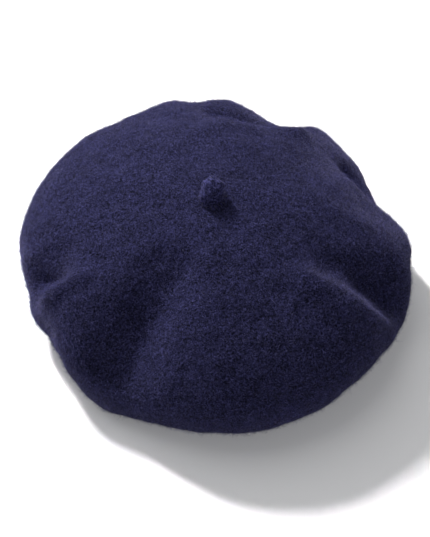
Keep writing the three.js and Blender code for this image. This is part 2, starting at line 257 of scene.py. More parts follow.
def grid_faces(rows, columns, wrap_rows=False, wrap_columns=False):
    """Quads of a rows x columns grid of points, joined to itself where a side wraps."""
    i = np.arange(rows if wrap_rows else rows - 1)
    j = np.arange(columns if wrap_columns else columns - 1)
    i, j = (x.ravel() for x in np.meshgrid(i, j, indexing="ij"))
    i1, j1 = (i + 1) % rows, (j + 1) % columns
    return np.stack([i * columns + j, i * columns + j1, i1 * columns + j1, i1 * columns + j], -1)


def tube(path, radius, sides=8, first=0):
    """Points and faces of a closed round tube along a path of points."""
    path = np.asarray(path, float)
    radius = np.broadcast_to(np.asarray(radius, float), (len(path),))
    tangents = np.gradient(path, axis=0)
    tangents /= np.linalg.norm(tangents, axis=1, keepdims=True)
    side = np.cross(tangents[0], (0.31, 0.52, 0.79))
    rings = []
    angles = np.arange(sides) * TAU / sides
    for point, tangent, r in zip(path, tangents, radius):
        side = side - tangent * (side @ tangent)
        side /= np.linalg.norm(side)
        other = np.cross(tangent, side)
        rings.append(point + r * (np.cos(angles)[:, None] * side + np.sin(angles)[:, None] * other))
    count = len(path)
    points = np.concatenate([np.concatenate(rings), path[:1], path[-1:]])
    start, end = count * sides, count * sides + 1
    k = np.arange(sides)
    k1 = (k + 1) % sides
    caps = np.concatenate([
        np.stack([np.full(sides, start), k1, k], -1),
        np.stack([np.full(sides, end), (count - 1) * sides + k, (count - 1) * sides + k1], -1),
    ])
    i, j = (x.ravel() for x in np.meshgrid(np.arange(count - 1), k, indexing="ij"))
    j1 = (j + 1) % sides
    quads = np.stack([i * sides + j, i * sides + j1, (i + 1) * sides + j1, (i + 1) * sides + j], -1)
    return points, quads + first, caps + first


class Parts:
    """Gathers many small closed shapes into one piece."""

    def __init__(self):
        self.points, self.quads, self.tris, self.count = [], [], [], 0

    def add_tube(self, path, radius, sides=8):
        points, quads, tris = tube(path, radius, sides, self.count)
        self.points.append(points)
        self.quads.append(quads)
        self.tris.append(tris)
        self.count += len(points)

    def piece(self, name, material):
        faces = [np.concatenate(self.quads), np.concatenate(self.tris)]
        return new_piece(name, np.concatenate(self.points), faces, material)


def curve_through(points, steps):
    """A smooth path through given points (a Catmull-Rom curve)."""
    p = np.asarray(points, float)
    p = np.concatenate([[2 * p[0] - p[1]], p, [2 * p[-1] - p[-2]]])
    path = []
    for k in range(1, len(p) - 2):
        for t in np.arange(steps) / steps:
            a = 2 * p[k]
            b = p[k + 1] - p[k - 1]
            c = 2 * p[k - 1] - 5 * p[k] + 4 * p[k + 1] - p[k + 2]
            d = -p[k - 1] + 3 * p[k] - 3 * p[k + 1] + p[k + 2]
            path.append(0.5 * (a + b * t + c * t * t + d * t ** 3))
    path.append(p[-2])
    return np.array(path)


def on_ring(radius, bearing, height):
    """A point at a radius, a bearing in degrees and a height."""
    bearing = np.radians(bearing)
    return np.stack(np.broadcast_arrays(radius * np.cos(bearing), radius * np.sin(bearing), height), -1)


FIBRE_LAY_BIAS = 1.6  # above 1, more of the fibres lie low
FIBRE_LENGTH_SPREAD = 0.35
FIBRE_ROOT_SHARE = 0.55  # share of a fibre's length below its bend
FIBRE_TIP_SHARE = 0.45
FIBRE_CURL = 0.7


def fibres(name, points, normals, rng, length, thickness, lay, material, floor=0.0002):
    """Short curved wool fibres, one rooted at each point. lay is (lowest, highest) degrees that
    they stand off the felt."""
    n = len(points)
    helper = np.where(np.abs(normals[:, 2:3]) < 0.9, (0.0, 0.0, 1.0), (1.0, 0.0, 0.0))
    e1 = np.cross(normals, helper)
    e1 /= np.linalg.norm(e1, axis=1, keepdims=True)
    e2 = np.cross(normals, e1)

    def heading(turn, rise):
        flat = np.cos(turn)[:, None] * e1 + np.sin(turn)[:, None] * e2
        return np.cos(rise)[:, None] * flat + np.sin(rise)[:, None] * normals

    turn = rng.uniform(0, TAU, n)
    low, high = np.radians(lay)
    rise = low + (high - low) * rng.random(n) ** FIBRE_LAY_BIAS
    reach = length * rng.lognormal(0, FIBRE_LENGTH_SPREAD, n)[:, None]
    root = points - normals * thickness
    middle = root + reach * FIBRE_ROOT_SHARE * heading(turn, rise)
    curl = rng.normal(0, FIBRE_CURL, n)
    tip = middle + reach * FIBRE_TIP_SHARE * heading(turn + curl, rise * rng.uniform(-0.4, 0.9, n))
    middle[:, 2] = np.maximum(middle[:, 2], floor)
    tip[:, 2] = np.maximum(tip[:, 2], floor)

    along = tip - root
    along /= np.linalg.norm(along, axis=1, keepdims=True)
    s1 = np.cross(along, normals + 0.01)
    s1 /= np.linalg.norm(s1, axis=1, keepdims=True)
    s2 = np.cross(along, s1)
    radius = thickness / 2 * rng.uniform(0.6, 1.3, n)[:, None]
    corners = []
    for centre, size in ((root, 1.0), (middle, 0.85)):
        for angle in (0, TAU / 3, 2 * TAU / 3):
            corners.append(centre + radius * size * (math.cos(angle) * s1 + math.sin(angle) * s2))
    corners.append(tip)
    cloud = np.stack(corners, 1)
    base = (np.arange(n) * 7)[:, None]
    tris = np.concatenate([base + np.array([0, 2, 1])] + [
        base + np.array(t) for t in (
            (0, 1, 4), (0, 4, 3), (1, 2, 5), (1, 5, 4), (2, 0, 3), (2, 3, 5), (3, 4, 6), (4, 5, 6), (5, 3, 6))
    ])
    return new_piece(name, cloud.reshape(-1, 3), [tris], material)


def scatter(grid, normals, count, rng):
    """Random places on a grid that wraps round its first axis, spread evenly by area."""
    near = np.roll(grid, -1, 0)
    area = np.linalg.norm(np.cross(near[:, :-1] - grid[:, :-1], grid[:, 1:] - grid[:, :-1]), axis=-1)
    share = np.cumsum(area.ravel())
    cell = np.searchsorted(share, rng.random(count) * share[-1])
    i, j = np.divmod(cell, area.shape[1])
    i1 = (i + 1) % grid.shape[0]
    u, v = rng.random(count)[:, None], rng.random(count)[:, None]

    def blend(values):
        first = values[i, j] * (1 - v) + values[i, j + 1] * v
        second = values[i1, j] * (1 - v) + values[i1, j + 1] * v
        return first * (1 - u) + second * u

    direction = blend(normals)
    return blend(grid), direction / np.linalg.norm(direction, axis=1, keepdims=True)


# ---- Materials -----------------------------------------------------------------------------------
class Surface:
    """A Principled material and the few nodes that its pattern is built from."""

    def __init__(self, name, roughness, **sockets):
        self.material = bpy.data.materials.new(name)
        self.material.use_nodes = True
        self.tree = self.material.node_tree
        self.shader = self.tree.nodes["Principled BSDF"]
        self.shader.inputs["Roughness"].default_value = roughness
        for socket, value in sockets.items():
            self.shader.inputs[socket.replace("_", " ")].default_value = value
        self.place = self.node("ShaderNodeTexCoord").outputs["Object"]

    def node(self, kind, **values):
        node = self.tree.nodes.new(kind)
        for key, value in values.items():
            if key in node.inputs:
                node.inputs[key].default_value = value
            else:
                setattr(node, key, value)
        return node

    def link(self, output, socket):
        self.tree.links.new(output, socket)

    def noise(self, size, detail=2.0, distortion=0.0, stretch=None):
        """Noise whose features are about size metres across."""
        texture = self.node("ShaderNodeTexNoise", Scale=1 / size, Detail=detail, Distortion=distortion)
        place = self.place
        if stretch:
            mapping = self.node("ShaderNodeMapping")
            mapping.inputs["Scale"].default_value = stretch
            self.link(place, mapping.inputs["Vector"])
            place = mapping.outputs["Vector"]
        self.link(place, texture.inputs["Vector"])
        return texture.outputs["Fac"]

    def sum(self, first, second, share):
        """first and second mixed: share of second."""
        mix = self.node("ShaderNodeMix", data_type="FLOAT")
        mix.inputs[0].default_value = share
        self.link(first, mix.inputs[2])
        self.link(second, mix.inputs[3])
        return mix.outputs[0]

    def colours(self, value, stops):
        """The base colour, from a list of (place, colour)."""
        ramp = self.node("ShaderNodeValToRGB")
        elements = ramp.color_ramp.elements
        while len(elements) < len(stops):
            elements.new(0.5)
        for element, (place, colour) in zip(elements, stops):
            element.position = place
            element.color = (*colour, 1)
        self.link(value, ramp.inputs["Fac"])
        self.link(ramp.outputs["Color"], self.shader.inputs["Base Color"])

    def bump(self, value, distance, strength=1.0):
        bump = self.node("ShaderNodeBump", Strength=strength, Distance=distance)
        self.link(value, bump.inputs["Height"])
        self.link(bump.outputs["Normal"], self.shader.inputs["Normal"])


def scaled(colour, factor):
    return tuple(c * factor for c in colour)


def wool_felt(colours, name="wool_felt", lighter=1.0, relief=0.9 * MM):
    """Fulled wool: a mat of crossing fibres. Its colour follows the fibre relief that also drives the bump:
    painted shade in the gaps and painted highlight where the fibres rise, over a faint random tone.
    """
    s = Surface(name, 0.95, Sheen_Weight=0.4, Sheen_Roughness=0.24,
                Sheen_Tint=(*colours.wool_sheen, 1), Specular_IOR_Level=0.08)
    mat = s.sum(s.noise(1.3 * MM, 3, 0.8), s.noise(0.65 * MM, 2, 1.2), 0.5)
    tone = s.sum(mat, s.noise(16 * MM, 3), 0.07)
    # lighter above 1 makes a painted-light copy of the felt
    wool = scaled(tuple(colours.wool), lighter)
    # painted shade and painted highlight: the low fibre relief is 0.15 times the wool, the high 3 times
    s.colours(tone, [(0.42, scaled(wool, 0.15)), (0.5, wool), (0.58, scaled(wool, 3.0))])
    s.bump(mat, relief, 0.9)
    return s.material


def wool_fibre(colours):
    """Single fibres of the nap. Their colour is painted lighter than the felt's, up to ten times the wool, as
    painted highlight for the bright fuzz at the outline.
    """
    s = Surface("wool_fibre", 0.9, Sheen_Weight=0.5, Sheen_Roughness=0.28,
                Sheen_Tint=(*colours.wool_sheen, 1), Specular_IOR_Level=0.1)
    tone = s.sum(s.noise(3 * MM, 2), s.noise(0.9 * MM, 2), 0.6)
    wool = tuple(colours.wool)
    # painted highlight: the fibres run from half to ten times the wool
    s.colours(tone, [(0.4, scaled(wool, 0.5)), (0.5, scaled(wool, 1.7)), (0.6, scaled(wool, 10.0))])
    return s.material


def grosgrain(colours):
    s = Surface("grosgrain_ribbon", 0.55, Sheen_Weight=0.2, Specular_IOR_Level=0.35)
    weave = s.sum(s.noise(0.35 * MM, 2), s.noise(4 * MM, 2), 0.35)
    ribbon = tuple(colours.ribbon)
    s.colours(weave, [(0.35, scaled(ribbon, 0.6)), (0.65, scaled(ribbon, 1.7))])
    s.bump(weave, 0.12 * MM, 0.7)
    return s.material


def spun_thread(name, colour):
    s = Surface(name, 0.5, Sheen_Weight=0.15, Specular_IOR_Level=0.4)
    ply = s.sum(s.noise(0.18 * MM, 2, stretch=(1, 1, 3)), s.noise(1.5 * MM, 2), 0.3)
    s.colours(ply, [(0.35, scaled(colour, 0.6)), (0.65, scaled(colour, 1.6))])
    s.bump(ply, 0.06 * MM, 0.8)
    return s.material


def woven_tape(colours):
    s = Surface("label_tape", 0.45, Sheen_Weight=0.1, Specular_IOR_Level=0.4)
    weave = s.sum(s.noise(0.22 * MM, 2, stretch=(1, 1, 4)), s.noise(0.22 * MM, 2, stretch=(4, 4, 1)), 0.5)
    tone = s.sum(weave, s.noise(5 * MM, 2), 0.3)
    tape = tuple(colours.label)
    s.colours(tone, [(0.3, scaled(tape, 0.86)), (0.7, tape)])
    s.bump(weave, 0.08 * MM, 0.7)
    return s.material


def table_top(colours):
    s = Surface("table_top", 0.6, Specular_IOR_Level=0.25)
    grain = s.sum(s.noise(60 * MM, 3), s.noise(2 * MM, 2), 0.3)
    table = tuple(colours.table)
    s.colours(grain, [(0.3, scaled(table, 0.99)), (0.7, table)])
    return s.material


MATERIALS = {}


def material(name):
    """Each material is made once, from the colours in the panel."""
    if name not in MATERIALS:
        colours = bpy.context.scene.beret_colours
        makers = {
            "felt": lambda: wool_felt(colours),
            # the stem's felt is a painted-light copy: 1.8 times lighter for the light its cap catches, with a
            # softer bump
            "stem_felt": lambda: wool_felt(colours, "wool_felt_stem", 1.8, 0.4 * MM),
            "fibre": lambda: wool_fibre(colours),
            "ribbon": lambda: grosgrain(colours),
            "thread": lambda: spun_thread("sewing_thread", tuple(colours.thread)),
            "cord": lambda: spun_thread("drawstring_cord", tuple(colours.cord)),
            "label": lambda: woven_tape(colours),
            "table": lambda: table_top(colours),
        }
        MATERIALS[name] = makers[name]()
    return MATERIALS[name]


def settle(piece, body, slot, *nodes):
    """The piece stands for its CAD nodes and rides on a body; a piece given no body is left unattached.
    slot is not used."""
    if body:
        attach(piece, body)
    if nodes:
        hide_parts(*nodes)


# ---- Settings shown in the panel -----------------------------------------------------------------
class BeretSizes(bpy.types.PropertyGroup):
    felt_thickness: bpy.props.FloatProperty(
        name="Felt thickness", description="Thickness of the fulled wool",
        default=FELT, min=0.001, max=0.006, unit="LENGTH")
    unevenness: bpy.props.FloatProperty(
        name="Unevenness", description="How far the felt's surface wanders from its smooth shape",
        default=0.35 * MM, min=0, max=0.002, unit="LENGTH")
    nap_length: bpy.props.FloatProperty(
        name="Nap length", description="Usual length of the wool fibres that stand off the felt",
        default=3.0 * MM, min=0.0005, max=0.008, unit="LENGTH")
    nap_thickness: bpy.props.FloatProperty(
        name="Nap thickness", description="Thickness of one fibre of the nap",
        default=0.11 * MM, min=0.00002, max=0.0005, unit="LENGTH")
    nap_patches: bpy.props.IntProperty(
        name="Nap patches", description="How many pieces the crown's nap is made in",
        default=5, min=1, max=8)
    nap_fibres: bpy.props.IntProperty(
        name="Fibres in a patch", description="How many fibres each piece of nap holds",
        default=19500, min=100, max=19900)
    stitch_length: bpy.props.FloatProperty(
        name="Stitch length", description="Length of one stitch of the band's seams",
        default=2.7 * MM, min=0.001, max=0.006, unit="LENGTH")
    rib_pitch: bpy.props.FloatProperty(
        name="Rib pitch", description="Distance between the ribs of the grosgrain ribbon",
        default=0.95 * MM, min=0.0005, max=0.003, unit="LENGTH")


class BeretColours(bpy.types.PropertyGroup):
    wool: bpy.props.FloatVectorProperty(
        name="Wool", description="Colour of the felt", subtype="COLOR",
        default=(0.0155, 0.0155, 0.046), min=0, max=1)
    wool_sheen: bpy.props.FloatVectorProperty(
        name="Wool sheen", description="Colour of the light that the fibre tips catch", subtype="COLOR",
        default=(0.55, 0.52, 0.95), min=0, max=1)
    thread: bpy.props.FloatVectorProperty(
        name="Thread", description="Colour of the sewing thread", subtype="COLOR",
        default=(0.02, 0.018, 0.06), min=0, max=1)
    ribbon: bpy.props.FloatVectorProperty(
        name="Ribbon", description="Colour of the sweatband", subtype="COLOR",
        default=(0.012, 0.012, 0.018), min=0, max=1)
    cord: bpy.props.FloatVectorProperty(
        name="Cord", description="Colour of the drawstring", subtype="COLOR",
        default=(0.016, 0.016, 0.022), min=0, max=1)
    label: bpy.props.FloatVectorProperty(
        name="Label", description="Colour of the woven label", subtype="COLOR",
        default=(0.75, 0.74, 0.70), min=0, max=1)
    table: bpy.props.FloatVectorProperty(
        name="Table", description="Colour of the table top", subtype="COLOR",
        default=(0.80, 0.80, 0.81), min=0, max=1)


# ---- The felt ------------------------------------------------------------------------------------
ROUND_STEPS = 400
CROWN_RINGS = 140
UNDER_RINGS = 34
LINING_RINGS = 40
STEM_HOLE = 2.2 * MM
HEM_SECTION = (  # radius beyond the opening and height, in millimetres: down, under and up inside
    (3.6, 0.0), (2.0, 0.0), (0.9, 0.25), (0.25, 0.9), (0.0, 2.0), (0.0, 8.0), (0.0, 14.0),
    (0.0, 18.6), (0.35, 19.6), (1.25, 20.0), (2.15, 19.6), (2.5, 18.6), (2.5, 11.0), (2.5, 4.0),
)
HEM_FADE = 8 * MM
CROWN_LAY = (4, 70)
UNDERSIDE_LAY = (3, 30)
UNDERSIDE_NAP_SHARE = 0.8


def felt_grid(sizes):
    """The outer face of the felt with its small unevenness, and its outward directions."""
    bearings = np.arange(ROUND_STEPS) * 360 / ROUND_STEPS
    hole_edge = math.pi / 2 - STEM_HOLE / RIM_RADIUS
    along = np.concatenate([
        1 - np.linspace(hole_edge, 0, CROWN_RINGS) / (math.pi / 2),
        1 + np.linspace(0, 1, UNDER_RINGS + 1)[1:],
    ])
    grid = felt_face(bearings[:, None], along[None, :])
    normals = grid_normals(grid)
    rng = np.random.default_rng(11)
    lumps = waves(grid, rng, 26, 16 * MM, 55 * MM) + 0.35 * waves(grid, rng, 30, 5 * MM, 12 * MM)
    fade = smooth(grid[..., 2] / HEM_FADE)
    grid = grid + normals * (sizes.unevenness * lumps * fade)[..., None]
    return bearings, along, grid, normals


class BERET_OT_felt(bpy.types.Operator):
    """Add the felt: crown, rim, underside and turned-in hem in one piece"""
    bl_idname = "beret.felt"
    bl_label = "Felt"

    def execute(self, context):
        sizes = context.scene.beret_sizes
        bearings, along, grid, normals = felt_grid(sizes)
        hem = np.stack([
            on_ring(OPENING_RADIUS + out * MM, bearings, up * MM) for out, up in HEM_SECTION
        ], 1)
        inner = np.unique(np.linspace(0, len(along) - 1, LINING_RINGS).astype(int))[::-1]
        outward = grid_normals(felt_face(bearings[:, None], along[None, :]))[:, inner]
        lining = felt_face(bearings[:, None], along[None, inner]) - outward * sizes.felt_thickness
        shell = np.concatenate([grid, hem, lining], 1)
        faces = grid_faces(shell.shape[0], shell.shape[1], wrap_rows=True, wrap_columns=True)
        felt = new_piece("felt_body_wool", shell.reshape(-1, 3), [faces], material("felt"))
        settle(felt, "hat", "wool_felt", "felt_body")
        return {"FINISHED"}


class BERET_OT_nap(bpy.types.Operator):
    """Add the nap: the short wool fibres that stand off the felt"""
    bl_idname = "beret.nap"
    bl_label = "Nap"

    def execute(self, context):
        sizes = context.scene.beret_sizes
        _, along, grid, normals = felt_grid(sizes)
        rng = np.random.default_rng(23)
        crown = slice(0, CROWN_RINGS + UNDER_RINGS // 2)
        for patch in range(1, sizes.nap_patches + 1):
            points, directions = scatter(grid[:, crown], normals[:, crown], sizes.nap_fibres, rng)
            nap = fibres(f"nap_crown_{patch}", points, directions, rng, sizes.nap_length,
                         sizes.nap_thickness, CROWN_LAY, material("fibre"))
            settle(nap, "hat", "wool_felt")
        under = slice(CROWN_RINGS + UNDER_RINGS // 2 - 1, None)
        points, directions = scatter(grid[:, under], normals[:, under], sizes.nap_fibres // 2, rng)
        nap = fibres("nap_underside", points, directions, rng,
                     sizes.nap_length * UNDERSIDE_NAP_SHARE, sizes.nap_thickness, UNDERSIDE_LAY,
                     material("fibre"))
        settle(nap, "hat", "wool_felt")
        return {"FINISHED"}


# ---- The stem at the crown's centre ----------------------------------------------------------------
STEM_PIVOT = JOINTS["stem_bend"]["pos_m"]
STEM_FOOT = np.array((STEM_PIVOT[0], STEM_PIVOT[1], CROWN_HEIGHT))
STEM_HEIGHT = STEM_HIGH[2] - CROWN_HEIGHT
STEM_LEAN = np.array((1.0, 3.5)) * MM
STEM_SECTION = (  # height as a share of the stem, and radius in millimetres
    (-0.10, 9.9), (0.0, 9.0), (0.08, 8.2), (0.2, 7.8), (0.35, 7.8), (0.5, 7.7), (0.65, 7.2),
    (0.78, 6.3), (0.88, 4.9), (0.95, 3.3), (0.99, 1.6), (1.0, 0.5),
)
STEM_SIDES = 96
STEM_FIBRES = 800
STEM_LAY = (4, 50)
STEM_NAP_SHARE = 0.75
ROOT_THICKNESS = 2 * MM


def stem_grid():
    """The rolled felt nub: a flared foot, short sides and a soft domed top."""
    section = curve_through([(r * MM, 0, share * STEM_HEIGHT) for share, r in STEM_SECTION], 6)
    angles = np.arange(STEM_SIDES) * TAU / STEM_SIDES
    r, z = section[:, 0][None, :], section[:, 2][None, :]
    lean = np.clip(z / STEM_HEIGHT, 0, 1)[..., None] ** 2 * STEM_LEAN
    grid = np.stack([r * np.cos(angles)[:, None], r * np.sin(angles)[:, None], z + 0 * angles[:, None]], -1)
    grid[..., :2] += lean
    grid = grid + STEM_FOOT
    normals = np.cross(np.gradient(grid, axis=1), np.roll(grid, 1, 0) - np.roll(grid, -1, 0))
    normals /= np.linalg.norm(normals, axis=-1, keepdims=True)
    rng = np.random.default_rng(31)
    lumps = waves(grid, rng, 20, 4 * MM, 11 * MM)
    return grid + normals * (0.28 * MM * lumps)[..., None], normals


def closed_lathe(name, grid, surface):
    """A piece from a grid that wraps round, with a point closing each end."""
    count, rings = grid.shape[:2]
    points = np.concatenate([grid.reshape(-1, 3), [grid[:, 0].mean(0)], [grid[:, -1].mean(0)]])
    k = np.arange(count)
    k1 = (k + 1) % count
    low = np.stack([np.full(count, count * rings), k1 * rings, k * rings], -1)
    high = np.stack([np.full(count, count * rings + 1), k * rings + rings - 1, k1 * rings + rings - 1], -1)
    quads = grid_faces(count, rings, wrap_rows=True)
    return new_piece(name, points, [quads[:, ::-1], np.concatenate([low, high])], surface)


def bend_with_stem(piece):
    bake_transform(piece)


class BERET_OT_stem(bpy.types.Operator):
    """Add the felt stem, its nap, its foot inside the crown and the thread that ties it"""
    bl_idname = "beret.stem"
    bl_label = "Stem"

    def execute(self, context):
        sizes = context.scene.beret_sizes
        grid, normals = stem_grid()
        stem = closed_lathe("stem_nub_wool", grid, material("stem_felt"))
        settle(stem, None, "wool_felt", "stem_nub")
        bend_with_stem(stem)

        rng = np.random.default_rng(37)
        points, directions = scatter(grid[:, 3:-3], normals[:, 3:-3], STEM_FIBRES, rng)
        nap = fibres("stem_nap", points, directions, rng, sizes.nap_length * STEM_NAP_SHARE,
                     sizes.nap_thickness, STEM_LAY, material("fibre"))
        settle(nap, None, "wool_felt")
        bend_with_stem(nap)

        self.add_root()
        self.add_thread()
        return {"FINISHED"}

    def add_root(self):
        """The flattened foot inside the crown, and its neck through the felt."""
        centre = np.array((STEM_FOOT[0], STEM_FOOT[1], 0))
        radius = (ROOT_HIGH[0] - ROOT_LOW[0]) / 2
        low = ROOT_LOW[2]
        thickness = ROOT_THICKNESS
        section = curve_through([
            (0.3 * MM, 0, 0), (0.5 * radius, 0, -0.0001), (0.86 * radius, 0, 0.1 * thickness),
            (radius, 0, 0.5 * thickness), (0.86 * radius, 0, 0.95 * thickness),
            (0.4 * radius, 0, 1.1 * thickness), (STEM_HOLE * 0.85, 0, 1.3 * thickness),
            (STEM_HOLE * 0.8, 0, 2.1 * thickness),
        ], 6)
        angles = np.arange(STEM_SIDES) * TAU / STEM_SIDES
        wobble = 1 + 0.05 * np.sin(3 * angles + 0.7) + 0.03 * np.sin(7 * angles)
        r = section[:, 0][None, :] * wobble[:, None]
        z = section[:, 2][None, :] + low + 0 * angles[:, None]
        grid = np.stack([r * np.cos(angles)[:, None], r * np.sin(angles)[:, None], z], -1) + centre
        rng = np.random.default_rng(41)
        grid[..., 2] += 0.12 * MM * waves(grid, rng, 16, 3 * MM, 9 * MM)
        root = closed_lathe("stem_root_wool", grid, material("felt"))
        settle(root, "hat", "wool_felt", "stem_root")

    def add_thread(self):
        """Small stitches round the foot of the stem, drawn down into the felt."""
        stitches = Parts()
        radius = (RING_HIGH[0] - RING_LOW[0]) / 2
        thread = 0.42 * MM
        count = 18
        for k in range(count):
            bearing = 360 * k / count
            path = curve_through([
                on_ring(radius - 1.5 * MM, bearing, 1.7 * MM),
                on_ring(radius - 0.6 * MM, bearing + 3, 1.1 * MM),
                on_ring(radius + 0.2 * MM, bearing + 7, 0.45 * MM),
                on_ring(radius + 0.7 * MM, bearing + 10, -0.5 * MM),
            ], 4)
            stitches.add_tube(path + STEM_FOOT, thread / 2, 6)
        thread_ring = stitches.piece("stem_thread_stitches", material("thread"))
        settle(thread_ring, "hat", "sewing_thread", "stem_thread")


# ---- The sweatband, its seams and its bar tacks ------------------------------------------------------
BAND_GAP_ANGLE = 8 * MM / OPENING_RADIUS
BAND_FACE = BAND_HIGH[0]
RIBBON = 0.7 * MM
CHANNEL_DEPTH = 2.5 * MM
CHANNEL = (3.4 * MM, 5.6 * MM, 15.0 * MM, 17.1 * MM)
BACK = 90


def ribbon_set_in(height):
    """How far the ribbon stands in from its sewn edges at a height: it makes the cord's channel."""
    low, low_in, high_in, high = CHANNEL
    rising = smooth((height - low) / (low_in - low))
    falling = smooth((high - height) / (high - high_in))
    return CHANNEL_DEPTH * rising * falling


class BERET_OT_band(bpy.types.Operator):
    """Add the ribbed ribbon inside the opening, its two seams and its bar tacks"""
    bl_idname = "beret.band"
    bl_label = "Sweatband"

    def execute(self, context):
        sizes = context.scene.beret_sizes
        self.add_ribbon(sizes)
        self.add_seam("band_lower_seam", (LOWER_SEAM_LOW[2] + LOWER_SEAM_HIGH[2]) / 2, sizes)
        self.add_seam("band_upper_seam", (UPPER_SEAM_LOW[2] + UPPER_SEAM_HIGH[2]) / 2, sizes)
        for side in ("left", "right"):
            for level in ("lower", "upper"):
                self.add_bartack(f"bartack_{side}_{level}")
        return {"FINISHED"}

    def add_ribbon(self, sizes):
        turn = TAU - 2 * BAND_GAP_ANGLE
        ribs = int(turn * OPENING_RADIUS / sizes.rib_pitch)
        columns = ribs * 4 + 1
        phase = np.linspace(0, ribs * TAU, columns)[:, None]
        bearings = (BACK + np.degrees(BAND_GAP_ANGLE) + np.linspace(0, np.degrees(turn), columns))[:, None]
        heights = np.linspace(BAND_LOW[2], BAND_HIGH[2], 20)[None, :]
        rng = np.random.default_rng(43)
        wander = 0.12 * MM * waves(on_ring(BAND_FACE, bearings[:, 0], 0), rng, 12, 14 * MM, 60 * MM)[:, None]
        set_in = ribbon_set_in(heights)
        edge = np.zeros_like(heights)
        edge[0, 0], edge[0, -1] = -0.22 * MM, 0.22 * MM
        z = heights + edge * (0.5 + 0.5 * np.cos(phase))
        rib = 0.09 * MM * np.cos(phase)
        back = on_ring(BAND_FACE - set_in, bearings, z)
        face = BAND_FACE - set_in - RIBBON + 0.1 * MM + rib + wander * set_in / CHANNEL_DEPTH
        front = on_ring(face, bearings, z)
        section = np.concatenate([front, back[:, ::-1]], 1)
        rows, around = section.shape[:2]
        faces = grid_faces(rows, around, wrap_columns=True)
        first = np.arange(around)[None, :]
        last = first[:, ::-1] + (rows - 1) * around
        ribbon = new_piece("sweatband_ribbon", section.reshape(-1, 3), [faces, first[:, ::-1], last[:, ::-1]],
                           material("ribbon"))
        settle(ribbon, "hat", "grosgrain_ribbon", "sweatband")

    def add_seam(self, node, height, sizes):
        """A row of lockstitches: each lies on the ribbon and dips into it at both ends."""
        stitches = Parts()
        radius = BAND_FACE - RIBBON
        gap = math.degrees(BAND_GAP_ANGLE) + 1.3
        count = int(math.radians(360 - 2 * gap) * radius / (sizes.stitch_length + 0.5 * MM))
        pitch = (360 - 2 * gap) / count
        thread = 0.36 * MM
        lift = np.array((-0.35, 0.08, 0.2, 0.2, 0.08, -0.35)) * MM
        rng = np.random.default_rng(47)
        for k in range(count):
            bearings = BACK + gap + pitch * (k + np.linspace(0.08, 0.92, 6))
            tilt = np.linspace(-0.1, 0.1, 6) * MM + rng.normal(0, 0.04 * MM)
            stitches.add_tube(on_ring(radius - lift, bearings, height + tilt), thread / 2, 6)
        seam = stitches.piece(f"{node}_stitches", material("thread"))
        settle(seam, "hat", "sewing_thread", node)

    def add_bartack(self, node):
        """A zigzag of close stitches over the end of the ribbon."""
        low, high = (np.array(c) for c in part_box(node))
        passes = 16
        x = (low[0] + high[0]) / 2
        half = (high[0] - low[0]) / 2 + 0.25 * MM
        depth = math.sqrt((BAND_FACE - RIBBON) ** 2 - x ** 2) - 0.2 * MM
        step = (high[2] - low[2]) / passes
        path = []
        for k in range(passes):
            z = low[2] + step * k
            side = 1 if k % 2 else -1
            path.append((x + side * half, depth + 0.3 * MM, z))
            path.append((x, depth, z + step / 2))
        bar = Parts()
        bar.add_tube(curve_through(path, 4), 0.15 * MM, 6)
        tack = bar.piece(f"{node}_stitches", material("thread"))
        settle(tack, "hat", "sewing_thread", node)


# ---- The drawstring and its knot -----------------------------------------------------------------------
CORD_HEIGHT = (CORD_LOW[2] + CORD_HIGH[2]) / 2
CORD_WIDTH = CORD_HIGH[2] - CORD_LOW[2]
CORD_RADIUS = CORD_HIGH[0] - CORD_WIDTH / 2
KNOT_CENTRE = (np.array(KNOT_LOW) + np.array(KNOT_HIGH)) / 2
LAY = 5 * MM  # the length of one turn of the cord's strands


def add_strands(parts, path, radius, count=3):
    """A cord twisted from strands that wind round its path."""
    path = np.asarray(path)
    tangents = np.gradient(path, axis=0)
    step = np.linalg.norm(tangents, axis=1, keepdims=True)
    tangents = tangents / step
    side = np.cross(tangents[0], (0.0, 0.1, 1.0))
    frames = []
    for tangent in tangents:
        side = side - tangent * (side @ tangent)
        side /= np.linalg.norm(side)
        frames.append((side, np.cross(tangent, side)))
    travelled = np.concatenate([[0], np.cumsum(np.linalg.norm(np.diff(path, axis=0), axis=1))])
    strand = radius * 0.54
    for k in range(count):
        turn = TAU * (travelled / LAY + k / count)
        offset = np.array([
            math.cos(t) * a + math.sin(t) * b for t, (a, b) in zip(turn, frames)])
        parts.add_tube(path + offset * (radius - strand), strand, 7)


